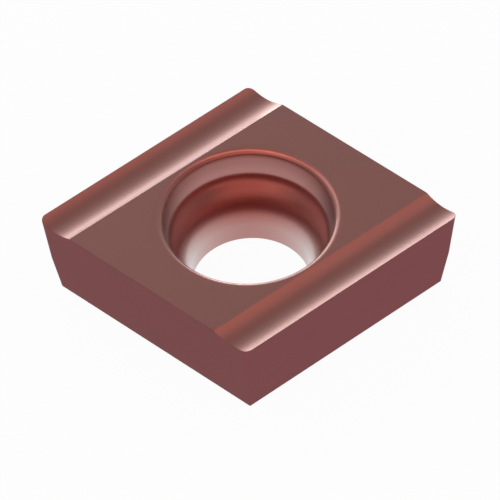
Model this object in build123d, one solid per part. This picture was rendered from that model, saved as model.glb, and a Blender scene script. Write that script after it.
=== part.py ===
from build123d import *
from math import acos, cos, degrees, radians, sin, sqrt, tan
import os

# Carbide indexable insert, in millimetres.
# One pressed, sintered and ground piece: an 80 degree rhombus with 7 degree relief on every flank,
# a chip groove ground along two opposite edges, and a screw hole with a curved seat.
# Origin: on the hole's axis, in the bottom face. +Z points up, and +X runs through the two
# 80 degree noses, so the two 100 degree corners lie on the Y axis.

# Rhombus, measured in the plane of the land
inscribed_circle = 6.35
nose_angle = 80.0
relief_angle = 7.0
nose_radius = 0.2
foot_radius = 0.03

# Heights above the bottom face: the ground cutting edges, and the land that stands above them
edge_height = 2.38
land_rise = 0.03

# Chip grooves: from the cutting edge in to the land, and the wheel's radius
groove_width = 1.0
groove_radius = 1.1

# Screw hole: a bore, a rounded seat for the screw's cone, and a recess for its head
bore_diameter = 2.8
bore_length = 0.5
seat_radius = 1.5
blend_radius = 0.5
recess_draft = 9.0
mouth_step = 0.75
mouth_radius = 0.15

# How far a cutting tool runs past the surface that it cuts
overrun = 1.0

land_height = edge_height + land_rise
half_nose = radians(nose_angle / 2)
relief = radians(relief_angle)
draft = radians(recess_draft)


def corner_radius(depth):
    """Radius of the corners at a depth below the land: a cone that shrinks with the flanks."""
    return max(nose_radius - depth * tan(relief), foot_radius)


def rhombus(depth):
    """Section of the blank at a depth below the land, with its four corners rounded."""
    circle_radius = inscribed_circle / 2 - depth * tan(relief)
    nose_reach = circle_radius / sin(half_nose)
    side_reach = circle_radius / cos(half_nose)
    corners = [(nose_reach, 0), (0, side_reach), (-nose_reach, 0), (0, -side_reach)]
    outline = make_face(Polyline(*corners, close=True))
    outline = fillet(outline.vertices(), corner_radius(depth))
    return Pos(0, 0, land_height - depth) * outline


def blank():
    """Four flanks that lean in by the relief angle, with noses that fade to the foot radius."""
    fade_depth = (nose_radius - foot_radius) / tan(relief)
    depths = [land_height, fade_depth, 0.0] if 0 < fade_depth < land_height else [land_height, 0.0]
    return loft([rhombus(depth) for depth in depths], ruled=True)


def groove_cutter(edge_direction):
    """Round bar that grinds one chip groove; edge_direction is the angle of the flank's normal.

    The arc runs from the cutting edge, which it lowers by the land's rise, to the land's border.
    """
    edge_inset = land_rise * tan(relief)
    chord = sqrt((groove_width - edge_inset) ** 2 + land_rise**2)
    lift = sqrt(groove_radius**2 - (chord / 2) ** 2)
    centre_inset = (groove_width + edge_inset) / 2 - lift * land_rise / chord
    centre_height = land_height - land_rise / 2 + lift * (groove_width - edge_inset) / chord
    bar_length = inscribed_circle / sin(2 * half_nose) + 2 * overrun
    bar = Rot(90, 0, 0) * Cylinder(groove_radius, bar_length)
    return Rot(0, 0, edge_direction) * Pos(inscribed_circle / 2 - centre_inset, 0, centre_height) * bar


def hole_cutter():
    """Body of revolution that removes the screw hole.

    Its section rises from the bottom face: the bore, the seat that swells inward, a hollow blend,
    the drafted wall of the recess and the rounded mouth. Each arc is tangent to its neighbours.
    """
    bore = bore_diameter / 2
    mouth = bore + mouth_step
    mouth_centre = Vector(mouth, land_height - mouth_radius)
    seat_centre = Vector(bore + seat_radius, bore_length)
    wall_outward = Vector(cos(draft), -sin(draft))
    wall_top = mouth_centre - wall_outward * mouth_radius
    span = seat_radius + blend_radius
    reach = blend_radius + (seat_centre - wall_top).dot(wall_outward)
    steepest = draft + acos(reach / span)
    seat_outward = Vector(cos(steepest), -sin(steepest))
    blend_centre = seat_centre - seat_outward * span
    section = Polyline((0, -overrun), (bore, -overrun), (bore, bore_length))
    section += RadiusArc((bore, bore_length), seat_centre - seat_outward * seat_radius, seat_radius)
    section += RadiusArc(section @ 1, blend_centre + wall_outward * blend_radius, -blend_radius)
    section += Line(section @ 1, wall_top)
    section += RadiusArc(wall_top, (mouth, land_height), mouth_radius)
    section += Polyline((mouth, land_height), (mouth, land_height + overrun), (0, land_height + overrun))
    section += Line((0, land_height + overrun), (0, -overrun))
    return revolve(Plane.XZ * make_face(section), Axis.Z)


def insert_body():
    """The finished insert: the blank less its two chip grooves and its screw hole."""
    first_groove = 90 + nose_angle / 2
    body = blank()
    body -= groove_cutter(first_groove)
    body -= groove_cutter(first_groove + 180)
    body -= hole_cutter()
    return body


os.makedirs("parts", exist_ok=True)
body = insert_body()
export_step(body, "parts/insert_body.step")
print("insert_body: volume", round(body.volume, 3), "mm3, box", body.bounding_box().size)
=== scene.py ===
# %% [markdown]
# # A coated carbide insert
#
# A carbide insert is the small replaceable tooth of a turning tool. Carbide powder is pressed into
# a rhombus, sintered hard, ground on its flanks and along two chip grooves, and then coated with a
# few thousandths of a millimetre of a reddish brown hard layer. It is one piece, with nothing that
# moves. This lesson rebuilds its surface from a handful of sizes, gives it a coating, and lights it
# like a small product on a pale table.

from math import acos, cos, pi, radians, sin, sqrt, tan

import bpy
import numpy as np
from mathutils import Matrix, Vector


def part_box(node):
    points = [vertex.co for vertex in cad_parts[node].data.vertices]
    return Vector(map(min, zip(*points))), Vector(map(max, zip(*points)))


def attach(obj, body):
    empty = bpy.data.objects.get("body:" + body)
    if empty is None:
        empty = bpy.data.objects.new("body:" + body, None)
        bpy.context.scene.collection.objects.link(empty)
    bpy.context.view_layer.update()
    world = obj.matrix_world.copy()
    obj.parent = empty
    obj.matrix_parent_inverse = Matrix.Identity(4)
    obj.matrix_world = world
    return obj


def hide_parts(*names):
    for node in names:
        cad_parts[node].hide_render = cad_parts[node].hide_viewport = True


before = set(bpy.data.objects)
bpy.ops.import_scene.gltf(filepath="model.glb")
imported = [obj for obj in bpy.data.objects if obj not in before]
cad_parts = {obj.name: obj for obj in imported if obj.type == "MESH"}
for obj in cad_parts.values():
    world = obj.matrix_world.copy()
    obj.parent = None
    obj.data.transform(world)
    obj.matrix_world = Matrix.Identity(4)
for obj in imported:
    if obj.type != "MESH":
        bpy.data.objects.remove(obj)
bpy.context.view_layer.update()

# %% [markdown]
# ## Sizes
#
# Every size below is a real one, in metres. A size could be typed into each formula where it is
# needed, but then a change would have to be made in many places. Kept together, the sizes also read
# like the drawing of the insert: its inscribed circle, its corner angle, its relief and its hole.

# %% Sizes of the insert
MM = 0.001
land_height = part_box("insert_body")[1][2]
circle_radius = 6.35 / 2 * MM
half_nose = radians(80 / 2)
relief = radians(7)
nose_radius = 0.2 * MM
foot_radius = 0.03 * MM

# A groove: its width from cutting edge to land, its arc, and how far the land rises over the edge
groove_width = 1.0 * MM
groove_radius = 1.1 * MM
land_rise = 0.03 * MM

# The hole from below: the bore, the bulging seat, the hollow blend, the leaning wall and the mouth
bore_radius = 1.4 * MM
bore_length = 0.5 * MM
seat_radius = 1.5 * MM
blend_radius = 0.5 * MM
recess_draft = radians(9)
mouth_step = 0.75 * MM
mouth_radius = 0.15 * MM

# The small roundings of the cutting edge and of the foot
edge_hone = 0.008 * MM
foot_break = 0.02 * MM
print("land height in mm:", round(land_height / MM, 4))

# %% [markdown]
# ## The outline of the blank
#
# The flanks of the real insert lean in by the relief angle, and its corners are slim cones that
# fade out on the way down. The outline could be drawn at each height and joined up, or a sharp
# prism could be bevelled. Here one formula gives the whole side: a rounded rhombus is the rhombus
# of its four corner centres with a small disc rolled around it. Both the rhombus and the disc
# shrink with depth, so the cones and the flat flanks come out of the same line of code.

# %% Columns around the outline
EDGE_COLUMNS = 90
ARC_COLUMNS = 16
corner_angles = np.radians([0, 90, 180, 270])
corner_leans = np.array([sin(half_nose), cos(half_nose)] * 2)
normal_angles = np.array([0.5 * np.pi - half_nose, 0.5 * np.pi + half_nose])
normal_angles = np.concatenate([normal_angles, normal_angles + np.pi])


def spread(count):
    """Fractions from 0 towards 1 that lie closer together near both ends: the mean of an even
    spread and of half a cosine wave."""
    even = np.arange(count) / count
    return 0.5 * even + 0.25 * (1 - np.cos(np.pi * even))


def outline_columns():
    """For each column around the outline: the corner that it starts from, how far it lies along the
    way to the next corner, and the direction in which the rolled disc touches the outline."""
    starts, shares, directions = [], [], []
    for corner in range(4):
        before, after = normal_angles[corner - 1], normal_angles[corner]
        turn = (after - before) % (2 * np.pi)
        arc = before + turn * np.arange(ARC_COLUMNS) / ARC_COLUMNS
        starts += [corner] * (ARC_COLUMNS + EDGE_COLUMNS)
        shares += [np.zeros(ARC_COLUMNS), spread(EDGE_COLUMNS)]
        directions += [arc, np.full(EDGE_COLUMNS, after)]
    return np.array(starts), np.concatenate(shares), np.concatenate(directions)


start_corner, edge_share, roll_angle = outline_columns()
roll = np.stack([np.cos(roll_angle), np.sin(roll_angle)], axis=-1)
print("columns around the outline:", len(roll_angle))


def side_point(depth):
    """Point of the side at a depth below the land, for every column.

    disc = the nose radius less depth times the tangent of the relief, never under the foot radius.
    corner centre = (circle radius less depth times that tangent, less the disc) / lean of the corner.
    point = the centres' rhombus at the column's share of its edge, plus the disc's touching point.
    """
    depth = np.asarray(depth)[..., None]
    disc = np.maximum(nose_radius - depth * tan(relief), foot_radius)
    reach = circle_radius - depth * tan(relief) - disc
    here, there = start_corner, (start_corner + 1) % 4
    centres = np.stack([np.cos(corner_angles), np.sin(corner_angles)], axis=-1) / corner_leans[:, None]
    along = centres[here] * (1 - edge_share[:, None]) + centres[there] * edge_share[:, None]
    return along * reach + roll * disc


# %% [markdown]
# ## The land and its grooves
#
# A grinding wheel cuts the chip groove along two opposite edges. The wheel's rim is an arc, so the
# groove is a piece of a cylinder whose arc starts on the flank, a little below the land, and ends
# in a crisp line on the land. Cutting a cylinder out with a boolean would give that shape too, but
# with long thin triangles. Here the top is a height over the plane instead, which any column can ask.

# %% Height of the top
groove_normal = np.array([cos(normal_angles[1]), sin(normal_angles[1])])
edge_inset = land_rise * tan(relief)
# The arc ends on the flank, land_rise below the land, and on the land, groove_width inward. Its
# centre stands over the middle of the chord between these ends.
groove_chord = sqrt((groove_width - edge_inset) ** 2 + land_rise**2)
wheel_lift = sqrt(groove_radius**2 - (groove_chord / 2) ** 2)
wheel_inset = (groove_width + edge_inset) / 2 - wheel_lift * land_rise / groove_chord
wheel_height = -land_rise / 2 + wheel_lift * (groove_width - edge_inset) / groove_chord


def groove_depth(point):
    """Depth of the top below the land at points in the plane.

    inset = circle radius less the distance from the hole's axis, measured across the grooved edges.
    depth = height of the wheel's arc under its centre, where the inset is less than the groove's width.
    """
    inset = circle_radius - np.abs(point @ groove_normal)
    across = np.clip(inset - wheel_inset, -groove_radius, groove_radius)
    arc = np.sqrt(groove_radius**2 - across**2) - wheel_height
    return np.where(inset < groove_width, np.maximum(arc, 0), 0)


print("groove's arc in mm: inset", round(wheel_inset / MM, 3), "and radius", groove_radius / MM)

# %% The cutting edge
SETTLING_ROUNDS = 8


def cutting_edge():
    """Depth and point of the sharp edge in each column, where the side meets the top.

    The depth is found by asking the top's depth at the side's point again and again, which settles
    within a few rounds because the flank leans so little."""
    depth = np.zeros(len(roll_angle))
    for _ in range(SETTLING_ROUNDS):
        depth = groove_depth(side_point(depth))
    return depth, side_point(depth)


edge_depth, edge_point = cutting_edge()
azimuth = np.arctan2(edge_point[:, 1], edge_point[:, 0])
ray = np.stack([np.cos(azimuth), np.sin(azimuth)], axis=-1)
print("deepest point of an edge in mm:", round(float(edge_depth.max()) / MM, 4))

# %% [markdown]
# ## The hole
#
# The screw of the real insert passes through a short bore, its cone bears on a rounded seat, and
# its head lies in a recess with drafted walls and a rounded mouth. A lathe profile in Blender would
# be a curve with Spin or Screw. Here each row of the hole is a radius and a height, worked out from
# arcs that touch each other without a corner, and the same columns that draw the outline turn it.

# %% Profile of the hole
ROUNDING_ROWS = 7
BORE_ROWS = 5
SEAT_ROWS = 20
BLEND_ROWS = 12
WALL_ROWS = 6
LIP_ROWS = 12


def arc_rows(centre, radius, first, last, count):
    """Points of an arc, as radius from the hole's axis and height: centre plus radius times the
    cosine and sine of an angle that goes evenly from first to last."""
    angle = np.linspace(first, last, count)
    return np.stack([centre[0] + radius * np.cos(angle), centre[1] + radius * np.sin(angle)], axis=-1)


def hole_profile():
    """Radius and height of each row of the hole, from the bottom face up to the land.

    The seat's arc bulges inward and touches the bore. The blend's arc is hollow and touches both the
    seat and the drafted wall. With the wall's outward direction w, the seat's centre s and the top
    of the wall t, the steepest lean of the seat is draft + acos((blend + (s - t).w) / (seat + blend)).
    """
    mouth = bore_radius + mouth_step
    mouth_centre = np.array([mouth, land_height - mouth_radius])
    seat_centre = np.array([bore_radius + seat_radius, bore_length])
    wall_outward = np.array([cos(recess_draft), -sin(recess_draft)])
    wall_top = mouth_centre - wall_outward * mouth_radius
    span = seat_radius + blend_radius
    steepest = recess_draft + acos((blend_radius + (seat_centre - wall_top) @ wall_outward) / span)
    blend_centre = seat_centre - np.array([cos(steepest), -sin(steepest)]) * span
    rounding_centre = np.array([bore_radius + foot_break, foot_break])
    rounding = arc_rows(rounding_centre, foot_break, -np.pi / 2, -np.pi, ROUNDING_ROWS)
    bore = np.linspace([bore_radius, 2 * foot_break], [bore_radius, bore_length], BORE_ROWS)[:-1]
    seat = arc_rows(seat_centre, seat_radius, np.pi, np.pi - steepest, SEAT_ROWS)
    blend = arc_rows(blend_centre, blend_radius, -steepest, -recess_draft, BLEND_ROWS)[1:]
    wall = np.linspace(blend[-1], wall_top, WALL_ROWS)[1:-1]
    lip = arc_rows(mouth_centre, mouth_radius, np.pi - recess_draft, np.pi / 2, LIP_ROWS)
    return np.concatenate([rounding, bore, seat, blend, wall, lip])


hole = hole_profile()
print("rows in the hole:", len(hole))

# %% [markdown]
# ## One closed surface
#
# The insert is a ring: going out over the land, down the flank, in under the bottom face and up
# through the hole comes back to the start. So its whole skin is one grid that closes on itself in
# both directions, like the skin of a doughnut. The rows follow the features of the real part: the
# mouth, the line where the land ends, the honed cutting edge and the foot. Real edges are never
# perfectly sharp, so edge and foot get a small rounding, which also catches the light.

# %% Helpers for the rows of the skin
LAND_ROWS = 8
GROOVE_ROWS = 26
HONE_ROWS = 9
HEEL_ROWS = 8
BOTTOM_ROWS = 8
# Shares of the way from the hone to the end of the noses' cones, and from there to the heel
UPPER_FLANK = np.array([0.01, 0.1, 0.3, 0.5, 0.75, 1.0])
LOWER_FLANK = np.array([0.25, 0.5, 0.75, 0.98])


def lift(points, depth):
    """Points in the plane, with a height of the land less their depth."""
    height = np.broadcast_to(land_height - np.asarray(depth), points.shape[:-1])
    return np.concatenate([points, height[..., None]], axis=-1)


def rounded(start, corner, end, count):
    """Rows of a rounding: a curve from start to end that leaves and arrives along the lines to the
    sharp corner, (1-t)(1-t) start + 2t(1-t) corner + t t end."""
    t = np.linspace(0, 1, count)[:, None, None]
    return (1 - t) ** 2 * start + 2 * t * (1 - t) * corner + t**2 * end


print("rows over the groove, around the hone and around the heel:", GROOVE_ROWS, HONE_ROWS, HEEL_ROWS)


# %% Rows of the top, from the mouth of the hole to the hone
def top_rows():
    """Rows of the land, then of the groove, with heights from the groove's arc.

    A column runs straight out from the mouth. Its border is the share of the way at which it leaves
    the land: the inset there is the groove's width. A column that meets no groove has its border
    three hone lengths before the edge.
    """
    mouth = hole[-1, 0] * ray
    outward = edge_point - mouth
    length = np.linalg.norm(outward, axis=-1)
    before_edge = 1 - 3 * edge_hone / length
    inner, outer = np.abs(mouth @ groove_normal), np.abs(edge_point @ groove_normal)
    crossing = (circle_radius - groove_width - inner) / np.where(outer > inner, outer - inner, np.inf)
    border = np.where(crossing > 0, np.minimum(crossing, before_edge), before_edge)
    over_land = np.linspace(0, 1, LAND_ROWS + 1)[1:, None] * border
    over_groove = border + np.linspace(0, 1, GROOVE_ROWS)[1:, None] * (1 - edge_hone / length - border)
    plan = mouth + np.concatenate([over_land, over_groove])[..., None] * outward
    depth = groove_depth(plan)
    depth[:LAND_ROWS] = 0
    return lift(plan, depth)


top = top_rows()
print("rows over the top:", len(top))


# %% Rows of the side, from the hone to the heel
def side_rows(top_edge):
    """Rows of the honed edge, the flank and the heel's rounding, which starts and ends a short way
    from the sharp corner. The flank's rows pass through the depth where the noses' cones end."""
    honed = edge_depth + edge_hone
    fade = (nose_radius - foot_radius) / tan(relief)
    foot = land_height - foot_break
    hone = rounded(top_edge, lift(edge_point, edge_depth), lift(side_point(honed), honed), HONE_ROWS)
    upper = honed + UPPER_FLANK[:, None] * (fade - honed)
    lower = fade + LOWER_FLANK[:, None] * np.full(len(ray), foot - fade)
    flank = [lift(side_point(depth), depth) for depth in np.concatenate([upper, lower])]
    corner = side_point(np.full(len(ray), land_height))
    inward = foot_break * corner / np.linalg.norm(corner, axis=-1, keepdims=True)
    heel_start = lift(side_point(np.full(len(ray), foot)), foot)
    heel = rounded(heel_start, lift(corner, land_height), lift(corner - inward, land_height), HEEL_ROWS)
    return np.concatenate([hone[1:], flank, heel])


side = side_rows(top[-1])
print("rows down the side:", len(side))


# %% All rows, once around the ring
def skin_parts():
    """Rows of points of the hole, the top, the side and the bottom, each with a point per column.

    The hole's rows are its radius times each column's direction, at its height. The bottom's rows
    go evenly from the heel to the foot of the hole."""
    height = np.broadcast_to(hole[:, 1:, None], (len(hole), len(ray), 1))
    hole_rows = np.concatenate([hole[:, :1, None] * ray, height], axis=-1)
    share = np.linspace(0, 1, BOTTOM_ROWS + 2)[1:-1, None, None]
    bottom = side[-1] + share * (hole_rows[0] - side[-1])
    return [hole_rows, top, side, bottom]


parts = skin_parts()
rows = np.concatenate(parts)
row_counts = [len(part) for part in parts]
print("rows in the hole, over the top, down the side and below:", row_counts)

# %% [markdown]
# ## From points to a mesh
#
# A grid of points needs faces between its neighbours. Adding them with bmesh one by one is clear but
# slow, so the numbers of all corners are worked out at once and handed over together. Each face also
# keeps a mark of its zone, because the real insert is finished zone by zone: the hole, the top and
# the sides. The material later asks for these marks, and their borders are crisp.

# %% Mesh of the insert
SHARP_ANGLE = radians(20)


def closed_grid(name, points):
    """Mesh object from a grid of points that closes on itself along both its rows and its columns:
    the face at row i and column j joins the points (i, j), (i+1, j), (i+1, j+1) and (i, j+1)."""
    row_count, column_count = points.shape[:2]
    number = np.arange(row_count * column_count).reshape(row_count, column_count)
    next_row, next_column = np.roll(number, -1, axis=0), np.roll(number, -1, axis=1)
    far = np.roll(next_row, -1, axis=1)
    faces = np.stack([number, next_row, far, next_column], axis=-1).reshape(-1, 4)
    mesh = bpy.data.meshes.new(name)
    mesh.from_pydata(points.reshape(-1, 3), [], faces)
    mesh.validate()
    mesh.shade_smooth()
    mesh.set_sharp_from_angle(angle=SHARP_ANGLE)
    piece = bpy.data.objects.new(name, mesh)
    bpy.context.scene.collection.objects.link(piece)
    return piece


insert = closed_grid("insert", rows)
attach(insert, "root")
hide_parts("insert_body")
print("faces:", len(insert.data.polygons))

# %% Marks of the zones
HOLE, SIDE = 0, 2
FACE_ROWS = np.array(row_counts) + [-1, 0, 0, 1]


def mark_faces(piece, name, zone):
    """Mark the faces of a zone with 1 and all others with 0, as an attribute that materials read.

    The zones are numbered in the order of their rows: hole, top, side, bottom. A row of faces joins
    a row of points to the next one and belongs to the zone of that next row. So the hole, which comes
    first, has one row of faces less than it has rows of points, and the bottom has one more, because
    the row that closes the ring is the bottom's too."""
    row_marks = np.repeat(np.arange(len(FACE_ROWS)) == zone, FACE_ROWS)
    attribute = piece.data.attributes.new(name, "FLOAT", "FACE")
    attribute.data.foreach_set("value", np.repeat(row_marks.astype(np.float32), len(ray)))
    print(name, "marks", int(row_marks.sum()), "of", len(row_marks), "rows of faces")


mark_faces(insert, "in_hole", HOLE)
mark_faces(insert, "on_side", SIDE)

# %% [markdown]
# ## Writing a material as formulas
#
# A material is a tree of nodes, and its patterns are sums. Placed one by one, the nodes of a sum are
# hard to read. The small class below wraps a socket of the tree, so that `1 - mask` adds the Math
# node for it. Anything that is no sum, such as a noise, comes from the method `node`.


# %% A socket that takes part in formulas
class Wire:
    """A socket of a material's node tree, or the bare tree while there is no socket yet."""

    def __init__(self, tree, socket=None):
        self.tree = tree
        self.socket = socket

    def node(self, kind, settings=None, inputs=None, output=0):
        """Add a node: first its settings, then a value or a wire for each named socket."""
        made = self.tree.nodes.new(kind)
        for name, value in (settings or {}).items():
            if name == "stops":
                set_stops(made.color_ramp, value)
            else:
                setattr(made, name, value)
        for name, value in (inputs or {}).items():
            if isinstance(value, Wire):
                self.tree.links.new(value.socket, made.inputs[name])
            else:
                made.inputs[name].default_value = value
        return Wire(self.tree, made.outputs[output])

    def other(self, name):
        """Another output of the node that this wire comes from."""
        return Wire(self.tree, self.socket.node.outputs[name])

    def math(self, operation, *values):
        """A Math node whose sockets take the values in their order."""
        return self.node("ShaderNodeMath", {"operation": operation}, dict(enumerate(values)))

    def __add__(self, value):
        return self.math("ADD", self, value)

    def __radd__(self, value):
        return self.math("ADD", value, self)

    def __sub__(self, value):
        return self.math("SUBTRACT", self, value)

    def __rsub__(self, value):
        return self.math("SUBTRACT", value, self)

    def __mul__(self, value):
        return self.math("MULTIPLY", self, value)

    def __rmul__(self, value):
        return self.math("MULTIPLY", value, self)

    def __pow__(self, value):
        return self.math("POWER", self, value)

    def __abs__(self):
        return self.math("ABSOLUTE", self)

    def rise(self, low, high):
        """0 below low, 1 above high, and a smooth step between them."""
        settings = {"interpolation_type": "SMOOTHSTEP"}
        sockets = {"Value": self, "From Min": low, "From Max": high}
        return self.node("ShaderNodeMapRange", settings, sockets)

    def blend(self, first, second):
        """Colour that goes from first to second as this wire goes from 0 to 1."""
        sockets = {"Factor": self, 6: first, 7: second}
        return self.node("ShaderNodeMix", {"data_type": "RGBA"}, sockets, 2)

    def lead_to(self, target):
        """Link this wire to a socket of a node that is there already."""
        self.tree.links.new(self.socket, target)


def set_stops(ramp, stops):
    """Give a colour ramp its stops, each a position and a colour."""
    while len(ramp.elements) < len(stops):
        ramp.elements.new(1)
    for element, (position, colour) in zip(ramp.elements, stops):
        element.position = position
        element.color = colour


# %% [markdown]
# ## Where the finish changes
#
# The same coating lies everywhere, but not on the same ground. The land keeps its sintered skin, the
# flanks and grooves are ground, and in the hole the steep wall is given a paler colour, which is a
# painted reflection and no change of the coating. The borders could be painted into an image. They
# follow the shape exactly, so here they are measured on the shape instead, from each point's place in
# millimetres and its zone's mark.

# %% Places on the insert, in millimetres
coating = bpy.data.materials.new("coating")
coating.use_nodes = True
shader = coating.node_tree.nodes["Principled BSDF"]
board = Wire(coating.node_tree)
place = board.node("ShaderNodeTexCoord").other("Object")
x = board.node("ShaderNodeSeparateXYZ", inputs={"Vector": place})
height = x.other("Z") * (1 / MM)
across = (x * float(groove_normal[0]) + x.other("Y") * float(groove_normal[1])) * (1 / MM)
inset = circle_radius / MM - abs(across)
print("land height and inscribed radius in mm:", round(land_height / MM, 3), circle_radius / MM)

# %% Zones of the coating
BORDER_WIDTH = 0.01
in_hole = board.node("ShaderNodeAttribute", {"attribute_name": "in_hole"}).other("Fac")
on_side = board.node("ShaderNodeAttribute", {"attribute_name": "on_side"}).other("Fac")
on_top = (1 - in_hole) * (1 - on_side)
groove_edge = groove_width / MM
in_groove = on_top * (1 - inset.rise(groove_edge - BORDER_WIDTH, groove_edge))
on_land = on_top * (1 - in_groove)
print("nodes in the coating so far:", len(coating.node_tree.nodes))

# %% [markdown]
# ## The marks of the grinding wheel
#
# A wheel leaves fine scratches along its path: along the grooves, level around the flanks, and in
# rings down the hole. A picture of scratches would be one way. A noise that is stretched along the
# path gives the same look at every scale. The marks are far finer than the insert is large, so they
# only break up the gloss and are seen close by. The land has a fine even grain in their place.

# %% Noise that is drawn out
GROOVE_MARK = (2 * MM, 0.03 * MM, 2 * MM)
LEVEL_MARK = (1.5 * MM, 1.5 * MM, 0.025 * MM)
GRAIN = (0.03 * MM, 0.03 * MM, 0.03 * MM)
CLOUD = (1.2 * MM, 1.2 * MM, 1.2 * MM)


def drawn_noise(lengths, turn=0.0):
    """Noise whose spots are as long as stated along X, Y and Z, before a turn about Z.

    The Mapping node divides each point by the lengths, so one step of the noise is that long."""
    inputs = {"Vector": place, "Rotation": (0, 0, turn), "Scale": lengths}
    drawn = board.node("ShaderNodeMapping", {"vector_type": "TEXTURE"}, inputs)
    noise = {"Vector": drawn, "Scale": 1.0, "Detail": 3.0, "Roughness": 0.6}
    return board.node("ShaderNodeTexNoise", inputs=noise)


groove_angle = float(normal_angles[1] - np.pi / 2)
groove_marks = drawn_noise(GROOVE_MARK, groove_angle)
level_marks = drawn_noise(LEVEL_MARK)
grain = drawn_noise(GRAIN)
cloud = drawn_noise(CLOUD)
print("direction of the grooves in degrees:", round(groove_angle * 180 / pi, 1))

# %% Marks and grain
MARK_STRENGTH = 0.4
MARK_DEPTH = 0.004 * MM
marks = on_land * grain + in_groove * groove_marks + (1 - on_top) * level_marks
relief_inputs = {"Strength": MARK_STRENGTH, "Distance": MARK_DEPTH, "Height": marks}
bump = board.node("ShaderNodeBump", inputs=relief_inputs)
bump.lead_to(shader.inputs["Normal"])
print("depth of the marks in mm:", round(MARK_STRENGTH * MARK_DEPTH / MM, 4))

# %% [markdown]
# ## The colour of the coating
#
# The coating is a hard ceramic that reflects like a metal, in a brownish red. The top has one
# colour. The flanks get a darker, greyer red, which is painted shade for how dim they look. In the
# hole the colour follows the height instead and paints light and shade there: a deep red in the
# bore, a little darker than the coating's as painted shade, and on the seat, a brighter red at the
# rim as a painted highlight, and pale on the steep wall as a painted reflection. A colour ramp over
# the height holds these, with soft changes on the seat and crisp ones at the wall.

# %% Colours by zone
RED = (0.36, 0.08, 0.057, 1)
# Painted shade: the flanks' red is darker and greyer than the top's, for how dim the sides look.
FLANK_PAINTED_SHADE = (0.23, 0.071, 0.076, 1)
# Painted shade: the bore's red is a little darker than the coating's.
BORE_PAINTED_SHADE = (0.325, 0.05, 0.035, 1)
SEAT = (0.376, 0.076, 0.057, 1)
# Painted reflection: the pale wall stands in for the bright reflection on the steep wall.
WALL_PAINTED_REFLECTION = (0.6, 0.3, 0.28, 1)
# Painted highlight: the rim's brighter red stands in for the bright band along it.
RIM_PAINTED_HIGHLIGHT = (0.44, 0.105, 0.078, 1)
hole_light_and_shade_stops = [
    (0.0, BORE_PAINTED_SHADE),
    (0.2, BORE_PAINTED_SHADE),
    (0.45, SEAT),
    (0.72, SEAT),
    (0.745, WALL_PAINTED_REFLECTION),
    (0.93, WALL_PAINTED_REFLECTION),
    (0.955, RIM_PAINTED_HIGHLIGHT),
]
up_hole = height * (MM / land_height)
# Up the hole the ramp paints light and shade into the colour, by height.
hole_painted_light = board.node("ShaderNodeValToRGB", {"stops": hole_light_and_shade_stops}, {"Fac": up_hole})
colour = in_hole.blend(on_side.blend(RED, FLANK_PAINTED_SHADE), hole_painted_light)
print("stops of the colour up the hole:", len(hole_light_and_shade_stops))

# %% [markdown]
# ## Tone and roughness
#
# A real coating isn't quite even: its tone drifts a little over the part, and it is a little rougher
# where the marks stand up. Both could be left out at this size, but then the surface looks like
# plastic close by. A soft noise makes the tone drift, and the marks from above move the roughness.

# %% Tone and roughness
TONE_DRIFT = 0.1
ROUGHNESS = 0.32
ROUGHNESS_DRIFT = 0.05
EDGE_TINT = (0.57, 0.57, 0.57, 1)
tone = 1 + TONE_DRIFT * (cloud - 0.5)
shade = board.node("ShaderNodeCombineColor", inputs={0: tone, 1: tone, 2: tone})
multiply = {"data_type": "RGBA", "blend_type": "MULTIPLY"}
toned = board.node("ShaderNodeMix", multiply, {0: 1.0, 6: colour, 7: shade}, 2)
toned.lead_to(shader.inputs["Base Color"])
roughness = ROUGHNESS + ROUGHNESS_DRIFT * (marks - 0.5)
roughness.lead_to(shader.inputs["Roughness"])
shader.inputs["Metallic"].default_value = 1
shader.inputs["Specular Tint"].default_value = EDGE_TINT
print("roughness around", ROUGHNESS, "and tone within", TONE_DRIFT / 2, "of even")

# %% [markdown]
# ## The gloss of the coating
#
# Looked at straight on, the coating is red. The more slanted the view, the more white gloss its
# smooth surface adds. A clear coat on the shader gives such a gloss, but only near the very edge.
# Here a white metal is mixed in by how far the surface faces away, which is what a Layer Weight
# node measures. The flanks are duller, so the gloss stays off them, and the steep wall of the hole
# gets only about half of it. That dull band is set by two spans of height in millimetres: it fades
# in over the blend and out again at the rim.

# %% Gloss by the slant of the view
SLANT_GLOSS = 0.74
SLANT_POWER = 1.2
WALL_DULLNESS = 0.45
DULL_FROM = (1.2, 1.9)
DULL_UP_TO = (2.24, 2.3)
facing = board.node("ShaderNodeLayerWeight", inputs={"Blend": 0.5}).other("Facing")
dull = in_hole * height.rise(*DULL_FROM) * (1 - height.rise(*DULL_UP_TO))
share = SLANT_GLOSS * facing**SLANT_POWER * (1 - on_side) * (1 - WALL_DULLNESS * dull)
print("most gloss on the top:", SLANT_GLOSS, "on the wall:", round(SLANT_GLOSS * (1 - WALL_DULLNESS), 2))

# %% Red and white metal together
GLOSS_WHITE = (1, 0.97, 0.95, 1)
metal = {"Base Color": GLOSS_WHITE, "Metallic": 1.0, "Roughness": roughness, "Normal": bump}
gloss = board.node("ShaderNodeBsdfPrincipled", inputs=metal)
red = Wire(board.tree, shader.outputs["BSDF"])
skin = board.node("ShaderNodeMixShader", inputs={0: share, 1: red, 2: gloss})
skin.lead_to(coating.node_tree.nodes["Material Output"].inputs["Surface"])
insert.data.materials.append(coating)
print("nodes in the coating:", len(coating.node_tree.nodes))

# %% [markdown]
# ## The table
#
# The insert lies on a plain white table. Lit alone, white paper comes out a little grey next to such
# a dark part, and more light would only wash the part out. So for the rays that look at the paper,
# from the camera, in a reflection or through glass, most of it is an even white glow. The rest of it
# is plain paper, which still takes the soft shadow of the insert.

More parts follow.
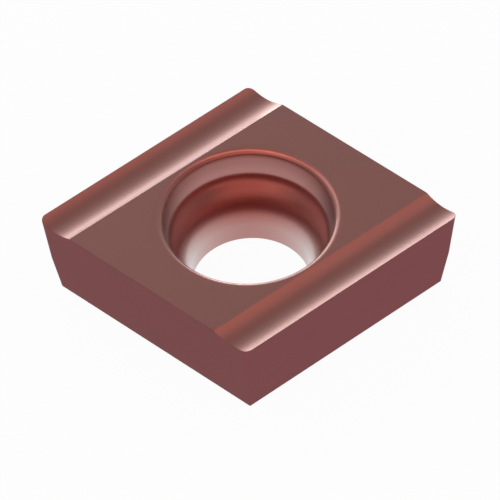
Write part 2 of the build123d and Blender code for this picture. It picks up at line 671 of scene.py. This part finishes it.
# %% Floor
TABLE_HALF = 400 * MM
corners = [(-TABLE_HALF, -TABLE_HALF, 0), (TABLE_HALF, -TABLE_HALF, 0)]
corners += [(TABLE_HALF, TABLE_HALF, 0), (-TABLE_HALF, TABLE_HALF, 0)]
floor_mesh = bpy.data.meshes.new("floor")
floor_mesh.from_pydata(corners, [], [(0, 1, 2, 3)])
floor = bpy.data.objects.new("floor", floor_mesh)
bpy.context.scene.collection.objects.link(floor)
print("the table is", round(2 * TABLE_HALF / MM), "mm wide")

# %% Paper on the floor
PAPER_WHITE = (0.88, 0.88, 0.88, 1)
GLOW_SHARE = 0.95
paper = bpy.data.materials.new("paper")
paper.use_nodes = True
paper.node_tree.nodes.remove(paper.node_tree.nodes["Principled BSDF"])
sheet = Wire(paper.node_tree)
path = sheet.node("ShaderNodeLightPath").other("Is Camera Ray")
looking = path + path.other("Is Glossy Ray") + path.other("Is Transmission Ray")
matt = sheet.node("ShaderNodeBsdfDiffuse", inputs={"Color": PAPER_WHITE})
glow = sheet.node("ShaderNodeEmission", inputs={"Strength": 1.0})
mixed = sheet.node("ShaderNodeMixShader", inputs={0: looking * GLOW_SHARE, 1: matt, 2: glow})
mixed.lead_to(paper.node_tree.nodes["Material Output"].inputs["Surface"])
floor_mesh.materials.append(paper)
print("nodes in the paper:", len(paper.node_tree.nodes))

# %% [markdown]
# ## The light
#
# A polished part shows its surroundings, so its looks are made by what stands around it. A grey room
# gives it a calm ground tone, and soft boxes give it shape. The low strip behind draws the pale
# streaks along the grooves, and the faint strip over it softens them. A broad box above, one to each
# side, one behind at the left and two in front fill in the rest. Two small cards stand low behind, as
# a photographer sets them for one highlight each: the first lights the thin near rim of the hole, and
# the second stands so close that it brightens only the far end of the far groove.
#
# Each light could be dragged into place by hand. Here it is placed by the direction from which the
# insert sees it, and by how wide it looks from there. Its power follows from its brightness, where 1
# is as bright as white paper: power = pi times area times brightness.

# %% The room
ROOM_GREY = 0.37
world = bpy.data.worlds.new("studio")
bpy.context.scene.world = world
world.use_nodes = True
room = world.node_tree.nodes["Background"]
room.inputs["Color"].default_value = (1, 1, 1, 1)
room.inputs["Strength"].default_value = ROOM_GREY
print("the room is", ROOM_GREY, "times as bright as white paper")

# %% Soft boxes and cards
BOX_DISTANCE = 300 * MM
CARD_DISTANCE = 23.4 * MM


def looking_from(azimuth, elevation):
    """Unit vector towards a point seen at an azimuth, turned left from the front, and an elevation."""
    return Vector((sin(azimuth) * cos(elevation), -cos(azimuth) * cos(elevation), sin(elevation)))


def soft_box(name, azimuth, elevation, width, height, brightness, distance=BOX_DISTANCE):
    """Area lamp that faces the insert, with its angles in degrees and its distance in metres.

    size = 2 times distance times the tangent of half the angle that it covers."""
    outward = looking_from(radians(azimuth), radians(elevation))
    lamp = bpy.data.lights.new(name, "AREA")
    lamp.shape = "RECTANGLE"
    lamp.size = 2 * distance * tan(radians(width / 2))
    lamp.size_y = 2 * distance * tan(radians(height / 2))
    lamp.energy = pi * lamp.size * lamp.size_y * brightness
    box = bpy.data.objects.new(name, lamp)
    box.location = outward * distance
    box.rotation_euler = outward.to_track_quat("Z", "Y").to_euler()
    box.visible_camera = False
    bpy.context.scene.collection.objects.link(box)
    print(name, "is", round(lamp.size / MM), "by", round(lamp.size_y / MM), "mm")


soft_box("back_strip", 195, 12, 58, 18, 1.72)
soft_box("back_card", 176, 5, 16, 8, 2.5)
soft_box("far_card", 190, 4, 12, 6.4, 4, CARD_DISTANCE)
soft_box("upper_strip", 196, 28, 24, 12, 0.35)
soft_box("back_left_box", 230, 45, 40, 24, 0.8)
soft_box("left_box", 300, 50, 60, 30, 0.6)
soft_box("right_box", 100, 63, 40, 20, 0.5)
soft_box("top_box", 0, 72, 60, 20, 1.6)
soft_box("front_box", 0, 46, 56, 24, 0.4)
soft_box("front_strip", 355, 24, 110, 18, 0.6)

# %% [markdown]
# ## The camera
#
# A part is easiest to compare with its picture when the camera stands where the picture's did. A
# camera could be pushed about by hand until the two agree. Here its direction, its roll and its
# distance are given as an angle or a length each, and its frame is built from three directions at
# right angles: back towards the camera, to its right, and up.

# %% Direction of the camera
camera_azimuth = radians(2.308)
camera_elevation = radians(49.071)
camera_roll = radians(-2.462)
back = looking_from(camera_azimuth, camera_elevation)
level = Vector((cos(camera_azimuth), sin(camera_azimuth), 0))
upright = back.cross(level)
right = level * cos(camera_roll) + upright * sin(camera_roll)
up = upright * cos(camera_roll) - level * sin(camera_roll)
print("direction towards the camera:", tuple(round(part, 3) for part in back))

# %% Lens of the camera
PICTURE = 500
SENSOR = 36
pixels_per_mm = 42.946
camera_distance = 146.8 * MM
lens = bpy.data.cameras.new("camera")
lens.sensor_width = SENSOR
lens.lens = SENSOR * pixels_per_mm * camera_distance / MM / PICTURE
lens.clip_start = 10 * MM
lens.clip_end = 1
print("focal length in mm:", round(lens.lens, 1))

# %% Place of the camera
# The point aimed at, and how far it shows to the right of the picture's middle and above it
aim = Vector((0, 0, 2.411 * MM))
aim_right = -1.5146 / pixels_per_mm * MM
aim_up = 34.112 / pixels_per_mm * MM
position = aim + back * camera_distance - right * aim_right - up * aim_up
turn = Matrix((right, up, back)).transposed().to_4x4()
camera = bpy.data.objects.new("camera", lens)
camera.matrix_world = Matrix.Translation(position) @ turn
bpy.context.scene.collection.objects.link(camera)
bpy.context.scene.camera = camera
bpy.context.scene.view_settings.view_transform = "Standard"
print("place of the camera in mm:", tuple(round(part / MM, 1) for part in position))
